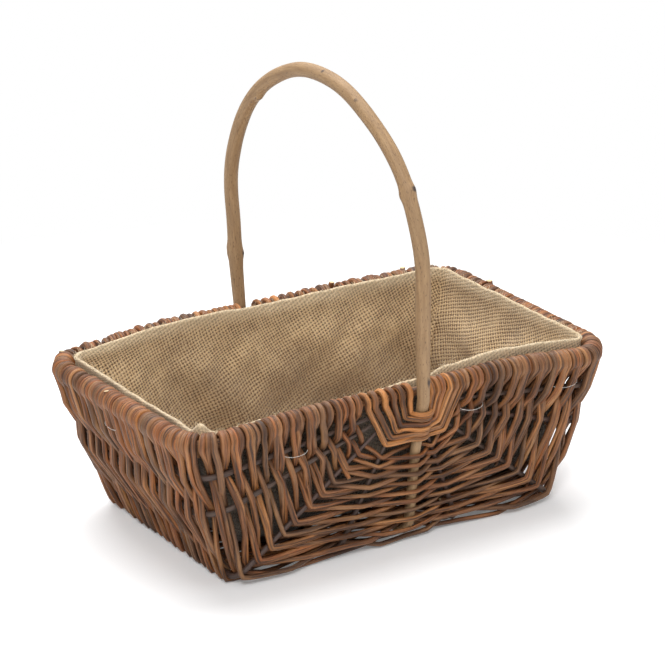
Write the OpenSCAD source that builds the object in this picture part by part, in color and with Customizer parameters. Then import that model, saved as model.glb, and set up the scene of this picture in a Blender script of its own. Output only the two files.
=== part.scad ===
// Willow trug basket: a rim hoop and a handle hoop cross at two lashings, ribs fan out
// between the lashings, and thin rods are woven over and under the ribs from rim to rim.
// A fabric liner stands inside. Millimetres, +Z up, origin under the middle of the base.

/* [Overall] */
// Length of the rim, between the centres of its end sticks
basket_l = 410; // [350:5:470]
// Width of the rim, between the centres of its side sticks
basket_w = 239; // [210:1:270]
// Height of the rim's centre above the ground
rim_h = 141; // [125:1:165]
// Length of the base, between the edge ribs at its two ends
base_l = 323; // [290:1:350]
// Width of the base, between its front and back edges
base_w = 208; // [190:1:225]
// Radius of the rim's corners, seen from above
rim_corner_r = 30; // [22:1:45]
// Radius of the bends of the two upper ribs, round the ends
rib_corner_r = 26; // [24:1:30]
// Radius of the bends of the two lower ribs, at the edges of the base
base_bend_r = 34; // [32:1:38]
// How far the end walls bulge beyond a straight line from base to rim
end_belly = 4; // [0:0.5:5]

/* [Handle] */
// Thickness of the stick at the top of the handle
handle_d = 12.5; // [10:0.5:14]
// Thickness of the same hoop where it runs under the base
handle_foot_d = 8.6; // [7:0.2:10]
// Height of the top of the arch above the rim
handle_h = 244; // [180:2:300]
// Width of the arch at its widest, across the basket
handle_w = 278; // [272:1:310]
// Height above the rim at which the arch is widest
handle_wide_h = 82; // [60:2:100]
// Squareness of the arch: 2 is an ellipse
handle_square = 2.1; // [2:0.05:2.6]
// Lean of the hoop towards the left end, in degrees
handle_lean = 1.8; // [0:0.2:3]
// Turn of the hoop about the upright axis, in degrees
handle_turn = 2.8; // [0:0.2:4]

/* [Rim and ribs] */
// Thickness of the rim stick
rim_d = 7.5; // [6:0.5:9]
// Thickness of a rib in the middle of its length
rib_d = 5.5; // [4.5:0.1:6]
// Thickness of a rib's whittled tip, inside the lashing
rib_tip_d = 3.2; // [2.4:0.1:4]

/* [Weave] */
// Thickness of a willow rod
rod_t = 3.7; // [3.4:0.1:3.9]
// Width of a rod where it is bent flat over the rim
rod_rim_w = 5; // [4:0.1:5.4]
// Free space between a rod and the stick that it crosses
rod_gap = 0.5; // [0.4:0.05:0.8]
// Number of rods woven between the two lashings
rods = 75; // [65:5:80]
// Number of rods that a lashing takes over the handle
lash_rods = 6; // [4:1:6]
// Half the length of rim that a lashing covers
lash_w = 50; // [40:1:60]
// Length of a rod's cut end, down the inside of the rim
tail_l = 13; // [8:1:18]
// Depth of the flats that the base has worn where it stands
foot_flat = 0.4; // [0.2:0.1:0.5]
// Length of one of those flats, along its rod
foot_l = 7; // [4:1:12]

/* [Liner] */
// Thickness of the fabric
liner_t = 1.4; // [1:0.1:2]
// Thickness of the folded hem
hem_t = 2.8; // [2:0.1:4]
// Height of the folded hem
hem_h = 14; // [8:1:20]
// Height of the hem's top above the rim's centre
hem_rise = 5; // [0:1:8]
// Free space between the liner and the weave
liner_gap = 0.6; // [0.4:0.1:0.9]

/* [Hidden] */
RIBS = 4;
GROUPS = 15;

// Handle
handle_sides = 8;
handle_rings = 11;
foot_corner_r = 30;
// Room that a rod leaves round the handle's radius where it bends over it
handle_room = 1.12;
handle_reach = handle_foot_d / 2 * handle_room + rod_gap + rod_t / 2;
handle_z = handle_reach + rod_t / 2 - foot_flat;
// Depths below the rim at which the hoop turns in beside it, and meets the woven wall
beside_depth = 5;
wall_depth = 55;
// Heights, as shares of the rim's, where the hoop starts to thicken and where it ends
thin_to = 0.62;
thick_from = 1.27;

// Rib heights: across the base, along its bottom edge, and at the ends
rib_reach = rib_d / 2 + rod_gap + rod_t / 2;
base_z = rib_reach + rod_t / 2 - foot_flat;
edge_z = base_z + 0.8;
// Radius of the rounding that a stick's outward direction follows at the edges
edge_r = 36;
rib_depth = [0.27, 0.54, 1];
upper_ribs = 2;
// Where each rib comes out of the lashing: across from the middle, and below the rim
exit_x = [48, 45, 39, 24];
exit_down = [16, 25, 36, 50];
// Length of each rib's tip, tucked in behind the lashing
tuck = 13;
// Length of rib over which each end tapers, as a share of the rib's length
rib_taper = 0.14;
// Distance of the rib under the base from the middle, and how much farther off it ends
base_rib_x = 60;
base_rib_skew = 2;
rib_sides = 6;

// Radius of a rod's bend round the rim, so that its flats clear the rim stick
rim_bend = (rim_d / 2 + rod_gap + rod_t / 2) / cos(40);
hook_angles = [0, 80, 160];
lash_start = 7;
lash_pitch = rod_t + 1.1;
lash_top = 16;
// Below a lashing the handle shows bare for this height
lash_bare = 6;
// A lashing rod turns in to the handle at this share of its way along the rim
lash_elbow = 0.76;
// Bends of a lashing rod over the handle, and the angle where it leaves it
lash_bends = [-54, 0, 54];
// Share of a rod's length along the bottom edge where it needs a ring between two sticks
bottom_share = 0.25;
bottom_span = 0.07;
// A rod's cut tail: thickness, width and how close it lies to the rim
tail_t = 0.7;
tail_w = 0.8;
tail_in = 0.82;

// Vectors and paths
function unit(v) = v / norm(v);
function mix(a, b, t) = a + (b - a) * t;
function clamp(v, lo, hi) = max(lo, min(hi, v));
function mirrored(p, s) = [s * p[0], p[1], p[2]];
function reversed(list) = [for (i = [len(list) - 1:-1:0]) list[i]];

// One rounded corner of a path: an arc of radius r, or as wide as the two sides allow
function corner(p, i, r, steps) =
    let (a = p[i - 1] - p[i], b = p[i + 1] - p[i],
         half = acos(unit(a) * unit(b)) / 2,
         trim = min(r / tan(half), norm(a) * 0.48, norm(b) * 0.48),
         centre = p[i] + unit(unit(a) + unit(b)) * trim / cos(half),
         s = p[i] + unit(a) * trim - centre,
         e = p[i] + unit(b) * trim - centre,
         sweep = 180 - 2 * half)
    [for (k = [0:steps]) let (t = k / steps)
        centre + (s * sin((1 - t) * sweep) + e * sin(t * sweep)) / sin(sweep)];
function rounded(p, r, steps) =
    [p[0], each [for (i = [1:len(p) - 2]) each corner(p, i, r, steps)], p[len(p) - 1]];
function run(p, i = 1, sum = [0]) =
    i == len(p) ? sum : run(p, i + 1, concat(sum, [sum[i - 1] + norm(p[i] - p[i - 1])]));
// A track is a path as three lookup tables over the share of its length, from 0 to 1
function track(p) =
    let (s = run(p), total = s[len(s) - 1])
    [for (axis = [0:2]) [for (i = [0:len(p) - 1]) [s[i] / total, p[i][axis]]]];
function at(tr, f) = [lookup(f, tr[0]), lookup(f, tr[1]), lookup(f, tr[2])];

// The surface that the ribs lie on: walls that lean out from the base to the rim
function rise(z) = (z - edge_z) / (rim_h - edge_z);
function half_l(z) =
    let (t = rise(z))
    mix(base_l, basket_l, t) / 2 + end_belly * 4 * max(t, 0) * max(1 - t, 0);
function half_w(z) = mix(base_w, basket_w, rise(z)) / 2;
// Direction out of the basket at a point of that surface
function outward(p) =
    let (x = half_l(p[2]) - edge_r, y = half_w(p[2]) - edge_r)
    unit(p - [clamp(p[0], -x, x), clamp(p[1], -y, y), max(p[2], edge_z + edge_r)]);

// A rod or stick along a path: rings of points, each with its own size and direction
module stick(path, normals, heights, widths, sides) {
    last = len(path) - 1;
    rings = [for (i = [0:last])
        let (t = unit(path[min(i + 1, last)] - path[max(i - 1, 0)]),
             n = unit(normals[i] - t * (normals[i] * t)),
             b = cross(t, n))
        [for (k = [0:sides - 1])
            let (a = 360 * (k + 0.5) / sides, q = path[i]
                 + (n * cos(a) * heights[i] + b * sin(a) * widths[i]) / 2 / cos(180 / sides))
            [q[0], q[1], max(q[2], 0)]]];
    faces = [
        for (k = [1:sides - 2]) [0, k, k + 1],
        for (k = [1:sides - 2]) [0, k + 1, k] + [1, 1, 1] * last * sides,
        for (i = [0:last - 1], k = [0:sides - 1])
            let (a = i * sides + k, b = i * sides + (k + 1) % sides)
            each [[a, a + sides, b], [b, a + sides, b + sides]]
    ];
    polyhedron([for (r = rings) each r], faces);
}

// Handle hoop, in its own plane: across the basket and up
arch_a = handle_w / 2;
arch_z = rim_h + handle_wide_h;
arch = [for (i = [0:handle_rings * 2]) let (a = 180 * i / (handle_rings * 2), c = cos(a), s = sin(a))
    [-sign(c) * arch_a * pow(abs(c), 2 / handle_square),
     arch_z + (handle_h - handle_wide_h) * pow(s, 2 / handle_square)]];
beside_rim = basket_w / 2 + rim_d / 2 + rod_gap + handle_d / 2;
handle_out = handle_reach - rib_reach;
lower = rounded([
    [-arch_a, arch_z],
    [-beside_rim, rim_h - beside_depth],
    [-half_w(rim_h - wall_depth) - handle_out, rim_h - wall_depth],
    [-half_w(handle_z) - handle_out, handle_z],
    [0, handle_z]
], foot_corner_r, 4);
// The hoop's plane leans along the basket and is turned about the upright axis
function hoop_point(p) =
    [-p[1] * tan(handle_lean) - p[0] * sin(handle_turn), p[0] * cos(handle_turn), p[1]];
half_low = [for (p = lower) hoop_point(p)];
half_back = [for (p = reversed(lower)) hoop_point([-p[0], p[1]])];
hoop_low = concat(half_low, [for (i = [1:len(half_back) - 1]) half_back[i]]);
hoop_top = [for (p = arch) hoop_point(p)];
hoop = concat(hoop_low, [for (i = [1:len(arch) - 2]) hoop_top[len(arch) - 1 - i]]);
// Thickness of the hoop at a height: thinner below the rim
function hoop_d(z) =
    let (share = (z / rim_h - thin_to) / (thick_from - thin_to))
    mix(handle_foot_d, handle_d, clamp(share, 0, 1));

module handle_hoop() {
    color([0.72, 0.56, 0.36])
    hoop_ring();
}

// A closed ring of the same kind as stick()
module hoop_ring() {
    n = len(hoop);
    up = unit(cross(hoop[1] - hoop[0], hoop[n - 1] - hoop[0]));
    rings = [for (i = [0:n - 1])
        let (t = unit(hoop[(i + 1) % n] - hoop[(i + n - 1) % n]), b = cross(t, up),
             r = hoop_d(hoop[i][2]) / 2)
        [for (k = [0:handle_sides - 1])
            let (a = 360 * (k + 0.5) / handle_sides)
            hoop[i] + (b * cos(a) + up * sin(a)) * r]];
    faces = [for (i = [0:n - 1], k = [0:handle_sides - 1])
        let (j = (i + 1) % n, m = (k + 1) % handle_sides, a = i * handle_sides, b = j * handle_sides)
        each [[a + k, a + m, b + k], [a + m, b + m, b + k]]];
    polyhedron([for (r = rings) each r], faces);
}

// Rim hoop: four straight sticks and four bends of one closed hoop
module rim_hoop() {
    x = basket_l / 2 - rim_corner_r;
    y = basket_w / 2 - rim_corner_r;
    color([0.45, 0.30, 0.20])
    translate([0, 0, rim_h])
    union() {
        for (sx = [-1, 1], sy = [-1, 1])
            translate([sx * x, sy * y, 0])
                rotate([0, 0, sx > 0 ? (sy > 0 ? 0 : -90) : (sy > 0 ? 90 : 180)])
                    rotate_extrude(angle = 90, $fn = 48)
                        translate([rim_corner_r, 0]) circle(d = rim_d, $fn = 24);
        for (s = [-1, 1]) {
            translate([-x, s * basket_w / 2, 0]) rotate([0, 90, 0])
                cylinder(h = 2 * x, d = rim_d, $fn = 24);
            translate([s * basket_l / 2, -y, 0]) rotate([-90, 0, 0])
                cylinder(h = 2 * y, d = rim_d, $fn = 24);
        }
    }
}

// Half of the rim's centre line, from the front lashing round the right end to the back
rim_half = rounded([
    [lash_w, -basket_w / 2, rim_h],
    [basket_l / 2, -basket_w / 2, rim_h],
    [basket_l / 2, basket_w / 2, rim_h],
    [lash_w, basket_w / 2, rim_h]
], rim_corner_r, 16);
rim_track = track(rim_half);

// Ribs of the right half, each from its front tip to its back tip
function wall(x, z, s) = [x, s * half_w(z), z];
function rib_line(k) =
    k == RIBS - 1
    ? [wall(exit_x[k], rim_h - exit_down[k], -1), [base_rib_x, -base_w / 2, base_z],
       [base_rib_x + base_rib_skew, base_w / 2, base_z], wall(exit_x[k], rim_h - exit_down[k], 1)]
    : let (z = mix(rim_h, edge_z, rib_depth[k]))
      [wall(exit_x[k], rim_h - exit_down[k], -1),
       [half_l(z), -half_w(z), z], [half_l(z), half_w(z), z],
       wall(exit_x[k], rim_h - exit_down[k], 1)];
rib_paths = [for (k = [0:RIBS - 1])
    rounded(rib_line(k), k < upper_ribs ? rib_corner_r : base_bend_r, 4)];
rib_tracks = [for (p = rib_paths) track(p)];
// Thickness of a rib at a share of its length
function rib_thick(f) = mix(rib_tip_d, rib_d, clamp(min(f, 1 - f) / rib_taper, 0, 1));
function tip(p, towards) = p + unit(p - towards) * tuck;

module rib(side, k) {
    woven = rib_paths[k];
    last = len(woven) - 1;
    path = [tip(woven[0], woven[1]), each woven, tip(woven[last], woven[last - 1])];
    thick = [rib_tip_d, for (share = rib_tracks[k][0]) rib_thick(share[0]), rib_tip_d];
    color(k > 1 ? [0.42, 0.38, 0.36] : [0.46, 0.33, 0.32])
    mirror([side < 0 ? 1 : 0, 0, 0])
        stick(path, [for (p = path) outward(p)], thick, thick, rib_sides);
}

// The part of the hoop that the weave crosses, between the two lashings
lash_end = lash_top + lash_rods * lash_pitch + lash_bare;
weave_hoop = [for (p = hoop_low) if (p[2] < rim_h - lash_end) p];
function hoop_at_height(s, z) =
    let (pts = s < 0 ? half_low : reversed(half_back), table = reversed([for (p = pts) p]))
    [lookup(z, [for (p = table) [p[2], p[0]]]), lookup(z, [for (p = table) [p[2], p[1]]]), z];
hoop_track = track(concat(
    [hoop_at_height(-1, rim_h - lash_end)], weave_hoop, [hoop_at_height(1, rim_h - lash_end)]));

// A rod's hook over the rim: up the outside, over the top and down the inside
function hook(p) =
    let (n = unit([for (axis = [0:2]) axis == 2 ? 0 : outward([p[0], p[1], rim_h])[axis]]))
    [for (a = hook_angles) let (d = n * cos(a) + [0, 0, sin(a)]) [p + d * rim_bend, d],
     let (d = -n) [p + d * rim_bend * tail_in - [0, 0, tail_l], d]];
hook_h = [rod_t, rod_t, rod_t, rod_t * tail_t];
hook_w = [rod_rim_w * 0.9, rod_rim_w, rod_rim_w, rod_t * tail_w];

// Direction out of the basket, square to a stick and to a rod that crosses it
function crossing_normal(tr, f, rod_line) =
    let (stick_line = at(tr, min(f + 0.01, 1)) - at(tr, max(f - 0.01, 0)),
         n = unit(cross(stick_line, rod_line)))
    n * outward(at(tr, f)) < 0 ? -n : n;

// Where a rod crosses a stick, between the places where it crosses the ones on either side:
// the middle of the rod, and the direction out of the basket there
function crossing(tr, f, before, after, over, reach) =
    let (p = at(tr, f), a = unit(before - p), b = unit(after - p),
         n = crossing_normal(tr, f, a - b),
         turn = acos(clamp(-a * b, -1, 1)))
    let (q = p + n * over * reach / cos(min(turn, 80) / 2))
    // Where a rod lies under the base it runs level for the length of its foot
    over > 0 && n[2] < -0.99
    ? [for (x = [-0.5, 0.5]) [q + [x * foot_l, 0, 0], n]]
    : [[q, n]];

// One side of a woven rod, from the handle out to its end inside the rim
function woven_half(i, s) =
    let (f = (i + 0.5) / rods,
         line = [at(rim_track, f), for (tr = rib_tracks) at(tr, f), at(hoop_track, f)],
         reach = rib_thick(f) / 2 + rod_gap + rod_t / 2,
         lies = [for (k = [0:RIBS - 1])
             crossing(rib_tracks[k], f, line[k], line[k + 2],
                 (i + k) % 2 == 0 ? -1 : 1, reach)],
         low = lies[RIBS - 1],
         edge = lies[RIBS - 2],
         edge_n = unit(low[0][1] + edge[0][1]),
         // By the bottom edge a rod passes evenly between its neighbours, half way along
         bends = abs(abs(f - 0.5) - bottom_share) < bottom_span,
         near = [(line[RIBS] + mirrored(line[RIBS + 1], s)) / 2, low[0][1]],
         far = [(line[RIBS - 1] + line[RIBS]) / 2, edge_n])
    [for (r = concat(
        [if (bends) near, each low, if (bends) far, each edge],
        [for (k = [RIBS - 3:-1:0]) each lies[k]],
        hook(line[0]))) [mirrored(r[0], s), mirrored(r[1], s)]];

module woven_rod(i) {
    f = (i + 0.5) / rods;
    rib_4 = at(rib_tracks[RIBS - 1], f);
    q = at(hoop_track, f);
    reach = hoop_d(q[2]) / 2 * handle_room + rod_gap + rod_t / 2;
    mid = crossing(hoop_track, f, mirrored(rib_4, -1), rib_4, i % 2 == 0 ? -1 : 1, reach);
    rings = concat(reversed(woven_half(i, -1)), mid, woven_half(i, 1));
    flat = [for (k = [1:len(rings) - 2 * len(hook_h)]) rod_t];
    stick([for (r = rings) r[0]], [for (r = rings) r[1]],
        concat(reversed(hook_h), flat, hook_h), concat(reversed(hook_w), flat, hook_w), 4);
}

// A lashing rod goes from the rim over the outside of the handle and back to the rim
module lash_rod(i, s) {
    z = rim_h - lash_top - i * lash_pitch;
    q = hoop_at_height(s, z);
    d = hoop_d(z);
    wrap = (d / 2 + rod_gap + rod_t / 2) / cos(lash_bends[2] / 2 + 2);
    rims = [for (side = [-1, 1])
        hook([mix(q[0] + side * lash_start, side * lash_w, (i + 0.5) / lash_rods),
              s * basket_w / 2, rim_h])];
    // Each rod comes down from the rim, then turns in to the handle, outside the rib tips
    elbow = [for (side = [-1, 1])
        let (x = mix(q[0] + side * lash_start, side * lash_w, (i + 0.5) / lash_rods * lash_elbow))
        [[x, s * (half_w(z) + rib_reach + 1), z + 3], [0, s, 0]]];
    cross_over = [for (a = lash_bends)
        [q + [sin(a), s * cos(a), 0] * wrap, [sin(a), s * cos(a), 0]]];
    rings = concat(reversed(rims[0]), [elbow[0]], cross_over, [elbow[1]], rims[1]);
    flat = [for (k = [0:4]) rod_t];
    stick([for (r = rings) r[0]], [for (r = rings) r[1]],
        concat(reversed(hook_h), flat, hook_h), concat(reversed(hook_w), flat, hook_w), 4);
}

module lashing(s) {
    color([0.62, 0.38, 0.20])
    for (i = [0:lash_rods - 1]) lash_rod(i, s);
}
module lashing_front() lashing(-1);
module lashing_back() lashing(1);

module weavers(group) {
    per = rods / GROUPS;
    color([0.52 + 0.03 * (group % 3), 0.33, 0.20])
    for (i = [round((group - 1) * per):round(group * per) - 1]) woven_rod(i);
}

// Liner: an open fabric box that rests on the weave and against its inside
liner_in = rib_reach + rod_t / 2 + liner_gap;
liner_floor = handle_z + handle_reach + rod_t / 2 + liner_gap;
liner_top = rim_h + hem_rise;
liner_rim_in = rim_bend + rod_t / 2 + liner_gap;
function liner_ring(z, inset, steps = 3) =
    let (r = mix(rib_corner_r, rim_corner_r, clamp(rise(z), 0, 1)) - 4,
         x = half_l(min(z, rim_h)) - inset, y = half_w(min(z, rim_h)) - inset)
    [for (c = [[1, -1, -90], [1, 1, 0], [-1, 1, 90], [-1, -1, 180]], k = [0:steps])
        let (a = c[2] + 90 * k / steps)
        [c[0] * (x - r) + r * cos(a), c[1] * (y - r) + r * sin(a), z]];
// The bottom edge is round, so that it clears the bend of the hoop under it
function liner_bend(out, up, r) =
    [for (a = [0:30:90]) [up + r * (1 - cos(a)), out + r * (1 - sin(a))]];
module liner() {
    hem_z = liner_top - hem_h;
    mid_z = mix(rim_h, edge_z, rib_depth[0]);
    r = foot_corner_r - 6;
    outside = concat(liner_bend(liner_in, liner_floor, r),
        [[mid_z, liner_in], [hem_z, liner_rim_in], [liner_top, liner_rim_in]]);
    inside = concat(liner_bend(liner_in + liner_t, liner_floor + liner_t, r), [
        [mid_z, liner_in + liner_t],
        [hem_z - 0.5, liner_rim_in + liner_t],
        [hem_z, liner_rim_in + hem_t],
        [liner_top, liner_rim_in + hem_t]
    ]);
    shell = [for (p = concat(outside, reversed(inside))) liner_ring(p[0], p[1])];
    n = len(shell[0]);
    last = len(shell) - 1;
    faces = [
        [for (k = [n - 1:-1:0]) k],
        [for (k = [0:n - 1]) last * n + k],
        for (i = [0:last - 1], k = [0:n - 1])
            let (a = i * n + k, b = i * n + (k + 1) % n)
            each [[a, b, a + n], [b, b + n, a + n]]
    ];
    color([0.68, 0.60, 0.44])
    polyhedron([for (s = shell) each s], [for (f = faces) reversed(f)]);
}

handle_hoop();
rim_hoop();
liner();
lashing_front();
lashing_back();
for (k = [1:RIBS]) {
    rib(-1, k - 1);
    rib(1, k - 1);
}
for (g = [1:GROUPS])
    weavers(g);
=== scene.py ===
import math
import random
from bisect import bisect_right
import bpy
import bmesh
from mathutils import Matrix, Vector, noise


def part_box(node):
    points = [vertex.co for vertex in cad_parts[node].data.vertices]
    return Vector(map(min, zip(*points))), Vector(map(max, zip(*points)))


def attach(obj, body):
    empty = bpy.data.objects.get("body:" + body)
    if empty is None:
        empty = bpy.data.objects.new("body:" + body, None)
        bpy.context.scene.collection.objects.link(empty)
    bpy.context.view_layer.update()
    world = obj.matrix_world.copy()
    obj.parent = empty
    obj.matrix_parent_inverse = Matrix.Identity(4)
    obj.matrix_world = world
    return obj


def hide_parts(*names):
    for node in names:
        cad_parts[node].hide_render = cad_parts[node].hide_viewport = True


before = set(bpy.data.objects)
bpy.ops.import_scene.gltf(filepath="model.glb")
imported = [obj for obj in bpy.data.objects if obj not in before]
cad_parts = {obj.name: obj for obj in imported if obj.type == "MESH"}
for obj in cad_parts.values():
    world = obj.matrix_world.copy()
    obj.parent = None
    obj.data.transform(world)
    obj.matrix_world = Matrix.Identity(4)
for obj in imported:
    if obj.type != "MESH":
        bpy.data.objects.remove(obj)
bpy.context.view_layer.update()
print("frame loaded:", len(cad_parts), "nodes")

# Sizes of the basket, in metres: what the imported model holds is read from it
basket = {
    "baseLength": 0.317,
    "baseWidth": 0.208,
    "rimCorner": 0.030,
    "ribCorner": 0.026,
    "baseBend": 0.013,
    "endBelly": 0.008,  # how far the end walls bulge beyond a straight line
    "lashReach": 0.050,  # half the length of rim that a lashing covers
    "baseRise": 0.0066,  # height of the base ribs' centres
    "edgeRise": 0.0074,  # height of the rib along the bottom edge
    "rimSag": {(-1, -1): 0.004, (-1, 1): 0.0075, (1, -1): 0.0075, (1, 1): 0.003},  # at a corner
    "sagFrom": 0.09,  # how far out the rim starts to dip
    "sagOver": 0.11,
    "edgeRound": 0.036,  # rounding that the outward direction follows at the edges
}
rimLow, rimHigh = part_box("rim_hoop")
rimThick = rimHigh.z - rimLow.z
rimHeight = (rimLow.z + rimHigh.z) / 2
rimLength = rimHigh.x - rimLow.x - rimThick
rimWidth = rimHigh.y - rimLow.y - rimThick
groups = sum(name.startswith("weavers_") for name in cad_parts)


def mix(a, b, t):
    return a + (b - a) * t


def clamp(value, low, high):
    return max(low, min(high, value))


def wobble(place, seed, scale):  # smooth noise between -1 and 1
    return noise.noise(Vector(place) / scale + Vector((seed * 7.3, seed * 3.1, seed)))


# A path with its corners rounded to a radius
def rounded(points, radius, steps):
    path = [points[0]]
    for before, p, after in zip(points, points[1:], points[2:]):
        a, b = before - p, after - p
        half = a.angle(b) / 2
        trim = min(radius / math.tan(half), a.length * 0.48, b.length * 0.48)
        centre = p + (a.normalized() + b.normalized()).normalized() * trim / math.cos(half)
        start = p + a.normalized() * trim - centre
        end = p + b.normalized() * trim - centre
        sweep = math.pi - 2 * half
        for k in range(steps + 1):
            t = k / steps
            turned = start * math.sin((1 - t) * sweep) + end * math.sin(t * sweep)
            path.append(centre + turned / math.sin(sweep))
    return path + [points[-1]]


# A path that is read by the share of its length, from 0 to 1
class Track:
    def __init__(self, points):
        self.points = points
        self.runs = [0]
        for a, b in zip(points, points[1:]):
            self.runs.append(self.runs[-1] + (b - a).length)
        self.length = self.runs[-1]

    def at(self, share):
        run = clamp(share, 0, 1) * self.length
        i = clamp(bisect_right(self.runs, run) - 1, 0, len(self.points) - 2)
        t = (run - self.runs[i]) / (self.runs[i + 1] - self.runs[i])
        return self.points[i].lerp(self.points[i + 1], t)


# The walls that the ribs lie on lean out from the base to the rim
def halfLength(z):
    rise = (z - basket["edgeRise"]) / (rimHeight - basket["edgeRise"])
    bulge = basket["endBelly"] * 4 * max(rise, 0) * max(1 - rise, 0)
    return mix(basket["baseLength"], rimLength, rise) / 2 + bulge


def halfWidth(z):
    rise = (z - basket["edgeRise"]) / (rimHeight - basket["edgeRise"])
    return mix(basket["baseWidth"], rimWidth, rise) / 2


def outward(p):
    core = basket["edgeRound"]
    x, y = halfLength(p.z) - core, halfWidth(p.z) - core
    inner = Vector((clamp(p.x, -x, x), clamp(p.y, -y, y), max(p.z, basket["edgeRise"] + core)))
    return (p - inner).normalized()


def mirrored(p, side):
    return Vector((side * p.x, p.y, p.z))


# The rim isn't quite level: it dips towards its corners
def rimSag(x, y):
    end = math.copysign(1, x)
    share = clamp(y / rimWidth + 0.5, 0, 1)
    corner = mix(basket["rimSag"][(end, -1)], basket["rimSag"][(end, 1)], share)
    reach = clamp((abs(x) - basket["sagFrom"]) / basket["sagOver"], 0, 1)
    return corner * reach * reach * (3 - 2 * reach)


def sagged(p):
    return Vector((p.x, p.y, p.z - rimSag(p.x, p.y)))


rimTrack = Track(rounded([
    Vector((basket["lashReach"], -rimWidth / 2, rimHeight)),
    Vector((rimLength / 2, -rimWidth / 2, rimHeight)),
    Vector((rimLength / 2, rimWidth / 2, rimHeight)),
    Vector((basket["lashReach"], rimWidth / 2, rimHeight)),
], basket["rimCorner"], 16))

# Ribs of one half: where each leaves the lashing, and how deep it hangs at the end
ribs = {
    "exitAcross": [0.048, 0.045, 0.039, 0.024],
    "exitDown": [0.016, 0.025, 0.036, 0.050],
    "depth": [0.27, 0.54, 1],
    "baseAcross": 0.060,
    "baseSkew": 0.002,
    "thick": 0.0049,
    "tipThick": 0.0030,
    "taper": 0.14,  # share of a rib's length over which its tip thickens
    "tuck": 0.013,
}


def ribLine(k):
    z = rimHeight - ribs["exitDown"][k]
    x = ribs["exitAcross"][k]
    front, back = Vector((x, -halfWidth(z), z)), Vector((x, halfWidth(z), z))
    if k == 3:
        x, y, z = ribs["baseAcross"], basket["baseWidth"] / 2, basket["baseRise"]
        return [front, Vector((x, -y, z)), Vector((x + ribs["baseSkew"], y, z)), back]
    z = mix(rimHeight, basket["edgeRise"], ribs["depth"][k])
    x, y = halfLength(z), halfWidth(z)
    return [front, Vector((x, -y, z)), Vector((x, y, z)), back]


ribBends = [basket["ribCorner"]] * 2 + [basket["baseBend"]] * 2
ribTracks = [Track(rounded(ribLine(k), bend, 8)) for k, bend in enumerate(ribBends)]


def ribRadius(share):
    body = clamp(min(share, 1 - share) / ribs["taper"], 0, 1)
    return mix(ribs["tipThick"], ribs["thick"], body) / 2


# Handle hoop, drawn across the basket and up, then leant and turned as a whole
handle = {
    "archWidth": 0.278,
    "wideRise": 0.082,  # height above the rim where the arch is widest
    "topRise": 0.244,
    "square": 2.1,
    "lean": math.radians(1.8),
    "turn": math.radians(2.8),
    "thick": 0.0125,
    "footThick": 0.0086,
    "thinTo": 0.62,  # share of the rim's height up to which the legs are thin
    "thickOver": 0.65,
    "besideDrop": 0.005,  # below the rim: where a leg stands beside it
    "wallDrop": 0.055,  # and where it meets the woven wall
    "footCorner": 0.014,
    "footRise": 0.0086,
    "footOut": 0.0021,
    "frontBow": [0, 0.0045, 0.0060, 0.0040, 0],  # sideways bow of the front leg, downwards
    "stray": 0.0022,  # how crooked the arch is
    "swell": 0.05,  # how uneven its thickness is
    "archSteps": 40,
    "stain": 2.4,  # radius of the stain and of the bump of a knot of size 1, in millimetres
    "bump": 4.2,
}


def hoopPoint(across, up):
    return Vector((
        -up * math.tan(handle["lean"]) - across * math.sin(handle["turn"]),
        across * math.cos(handle["turn"]),
        up,
    ))


def hoopHalf(side):  # from the widest place down to the middle of the base
    beside = rimWidth / 2 + rimThick / 2 + handle["thick"] / 2
    out = handle["footOut"]
    meeting = rimHeight - handle["wallDrop"]
    spots = [
        (handle["archWidth"] / 2, rimHeight + handle["wideRise"]),
        (beside, rimHeight - handle["besideDrop"]),
        (halfWidth(meeting) + out, meeting),
        (halfWidth(handle["footRise"]) + out, handle["footRise"]),
        (0, handle["footRise"]),
    ]
    bows = handle["frontBow"] if side < 0 else [0] * len(spots)
    return rounded([hoopPoint(side * across, up) + Vector((bow, 0, 0))
                    for (across, up), bow in zip(spots, bows)], handle["footCorner"], 8)


def hoopRadius(z):
    share = clamp((z / rimHeight - handle["thinTo"]) / handle["thickOver"], 0, 1)
    return mix(handle["footThick"], handle["thick"], share) / 2


def hoopArch():
    arch = []
    steps = handle["archSteps"]
    for i in range(1, steps):
        angle = math.pi * i / steps
        c, s = math.cos(angle), math.sin(angle)
        across = -math.copysign(abs(c) ** (2 / handle["square"]), c) * handle["archWidth"] / 2
        rise = s ** (2 / handle["square"]) * (handle["topRise"] - handle["wideRise"])
        arch.append(hoopPoint(across, rimHeight + handle["wideRise"] + rise))
    return arch


frontHalf, backHalf = hoopHalf(-1), hoopHalf(1)


def hoopAtHeight(side, z):
    path = frontHalf if side < 0 else backHalf
    for a, b in zip(path, path[1:]):
        if a.z >= z >= b.z:
            return a.lerp(b, (a.z - z) / max(a.z - b.z, 1e-9))
    return path[-1]


# A lashing takes six rods over the handle; below it the handle shows bare
lashing = {
    "rods": 6,
    "top": 0.016,
    "pitch": 0.0048,
    "bare": 0.006,
    "start": 0.007,
    "radius": 0.0023,
    "elbow": 0.56,  # where a rod turns in to the handle, as a share of its way out
    "proud": 0.0066,  # how far it stands off the wall there
    "wrap": 54,  # degrees either side over which it bends round the handle
}
bareEnd = rimHeight - lashing["top"] - lashing["rods"] * lashing["pitch"] - lashing["bare"]
lowHoop = [p for p in frontHalf + backHalf[-2::-1] if p.z < bareEnd]
hoopTrack = Track([hoopAtHeight(-1, bareEnd)] + lowHoop + [hoopAtHeight(1, bareEnd)])


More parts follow.
